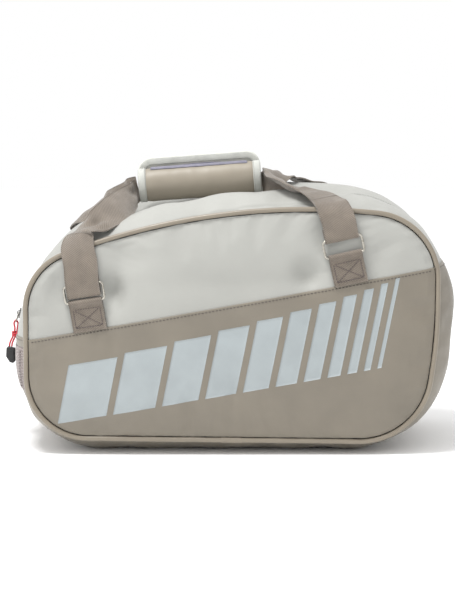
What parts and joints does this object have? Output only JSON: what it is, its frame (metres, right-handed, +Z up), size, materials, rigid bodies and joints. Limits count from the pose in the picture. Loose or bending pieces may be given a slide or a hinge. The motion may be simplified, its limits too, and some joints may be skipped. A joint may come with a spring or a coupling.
{
  "type": "racket duffel bag",
  "caption": "Rounded two-tone sports duffel for rackets, zipped over the top, with two webbing handles joined by a padded grip wrap and a grab strap at one end.",
  "frame": {"origin": "centre of the bag's bounding box on the floor it stands on, without the zip's cord and toggle", "axes": "+X along the bag towards the end with no grab strap, -Y out of the front panel, +Z up"},
  "size_m": [0.5486, 0.2882, 0.3581],
  "materials": {
    "grey_fabric": "matt, light warm grey",
    "taupe_coated": "satin coated fabric, taupe",
    "piping": "satin",
    "lining": "matt woven",
    "board": "matt",
    "zip_tape": "matt woven",
    "zip_coil": "satin",
    "metal": "polished nickel plate",
    "cord": "braided",
    "toggle": "moulded",
    "webbing": "woven webbing with a light sheen",
    "binding": "matt woven tape",
    "print": "satin printed film"
  },
  "bodies": {
    "bag": {"front_panel_upper": "grey_fabric", "front_panel_lower": "taupe_coated", "back_panel_upper": "grey_fabric", "back_panel_lower": "taupe_coated", "front_piping": "piping", "front_piping_joint": "piping", "back_piping": "piping", "back_piping_joint": "piping", "gusset_top_front": "grey_fabric", "gusset_top_back": "grey_fabric", "gusset_base": "taupe_coated", "gusset_lining": "lining", "front_lining": "lining", "back_lining": "lining", "base_board": "board", "zip_tape_front": "zip_tape", "zip_tape_back": "zip_tape", "zip_chain": "zip_coil", "zip_stop_left": "metal", "zip_stop_right": "metal", "end_grab_strap": "webbing", "strap_anchor_front_left": "webbing", "strap_anchor_front_right": "webbing", "strap_anchor_back_left": "webbing", "strap_anchor_back_right": "webbing", "handle_strap_front_left": "webbing", "handle_strap_front_right": "webbing", "handle_strap_back_left": "webbing", "handle_strap_back_right": "webbing"},
    "slider": {"zip_slider": "metal"},
    "puller": {"zip_puller": "metal"},
    "pull": {"pull_cord": "cord", "pull_toggle": "toggle"},
    "grip": {"grip_wrap": "taupe_coated", "grip_lining": "lining", "grip_binding_left": "binding", "grip_binding_right": "binding", "grip_loop_tape": "lining", "handle_core_front": "webbing", "handle_core_back": "webbing"},
    "flap": {"grip_flap": "taupe_coated", "grip_flap_binding": "binding", "grip_hook_tape": "lining"},
    "ring_front_left": {"strap_ring_front_left": "metal"},
    "ring_front_right": {"strap_ring_front_right": "metal"},
    "ring_back_left": {"strap_ring_back_left": "metal"},
    "ring_back_right": {"strap_ring_back_right": "metal"}
  },
  "joints": [
    {"name": "zip_travel", "type": "hinge", "parent": "bag", "child": "slider", "pos_m": [-0.113, 0, 0.12762], "axis": [0, 1, 0], "range_deg": [0, 56]},
    {"name": "zip_puller_swing", "type": "hinge", "parent": "slider", "child": "puller", "pos_m": [-0.2653, 0, 0.1556], "axis": [0, 1, 0], "range_deg": [0, 120]},
    {"name": "pull_swing", "type": "hinge", "parent": "puller", "child": "pull", "pos_m": [-0.26893, 0, 0.14374], "axis": [0, 1, 0], "range_deg": [0, 60]},
    {"name": "handle_lift", "type": "slide", "parent": "bag", "child": "grip", "axis": [0, 0, 1], "range_m": [0, 0.045], "deforming": ["handle_strap_front_left", "handle_strap_front_right", "handle_strap_back_left", "handle_strap_back_right"]},
    {"name": "grip_flap_open", "type": "hinge", "parent": "grip", "child": "flap", "pos_m": [-0.03944, 0.0144, 0.33097], "axis": [-0.9973, 0, -0.0732], "range_deg": [0, 110]},
    {"name": "ring_front_left_swing", "type": "hinge", "parent": "bag", "child": "ring_front_left", "pos_m": [-0.17136, -0.13914, 0.18508], "axis": [0.9839, -0.0815, 0.159], "range_deg": [0, 25], "stiffness_Nm_per_rad": 0.02, "deforming": ["handle_strap_front_left"]},
    {"name": "ring_front_right_swing", "type": "hinge", "parent": "bag", "child": "ring_front_right", "pos_m": [0.1334, -0.13953, 0.24004], "axis": [0.9754, 0.0624, 0.2115], "range_deg": [0, 25], "stiffness_Nm_per_rad": 0.02, "deforming": ["handle_strap_front_right"]},
    {"name": "ring_back_left_swing", "type": "hinge", "parent": "bag", "child": "ring_back_left", "pos_m": [-0.17136, 0.13914, 0.18508], "axis": [-0.9839, -0.0815, -0.159], "range_deg": [0, 25], "stiffness_Nm_per_rad": 0.02, "deforming": ["handle_strap_back_left"]},
    {"name": "ring_back_right_swing", "type": "hinge", "parent": "bag", "child": "ring_back_right", "pos_m": [0.1334, 0.13953, 0.24004], "axis": [-0.9754, 0.0624, -0.2115], "range_deg": [0, 25], "stiffness_Nm_per_rad": 0.02, "deforming": ["handle_strap_back_right"]}
  ]
}
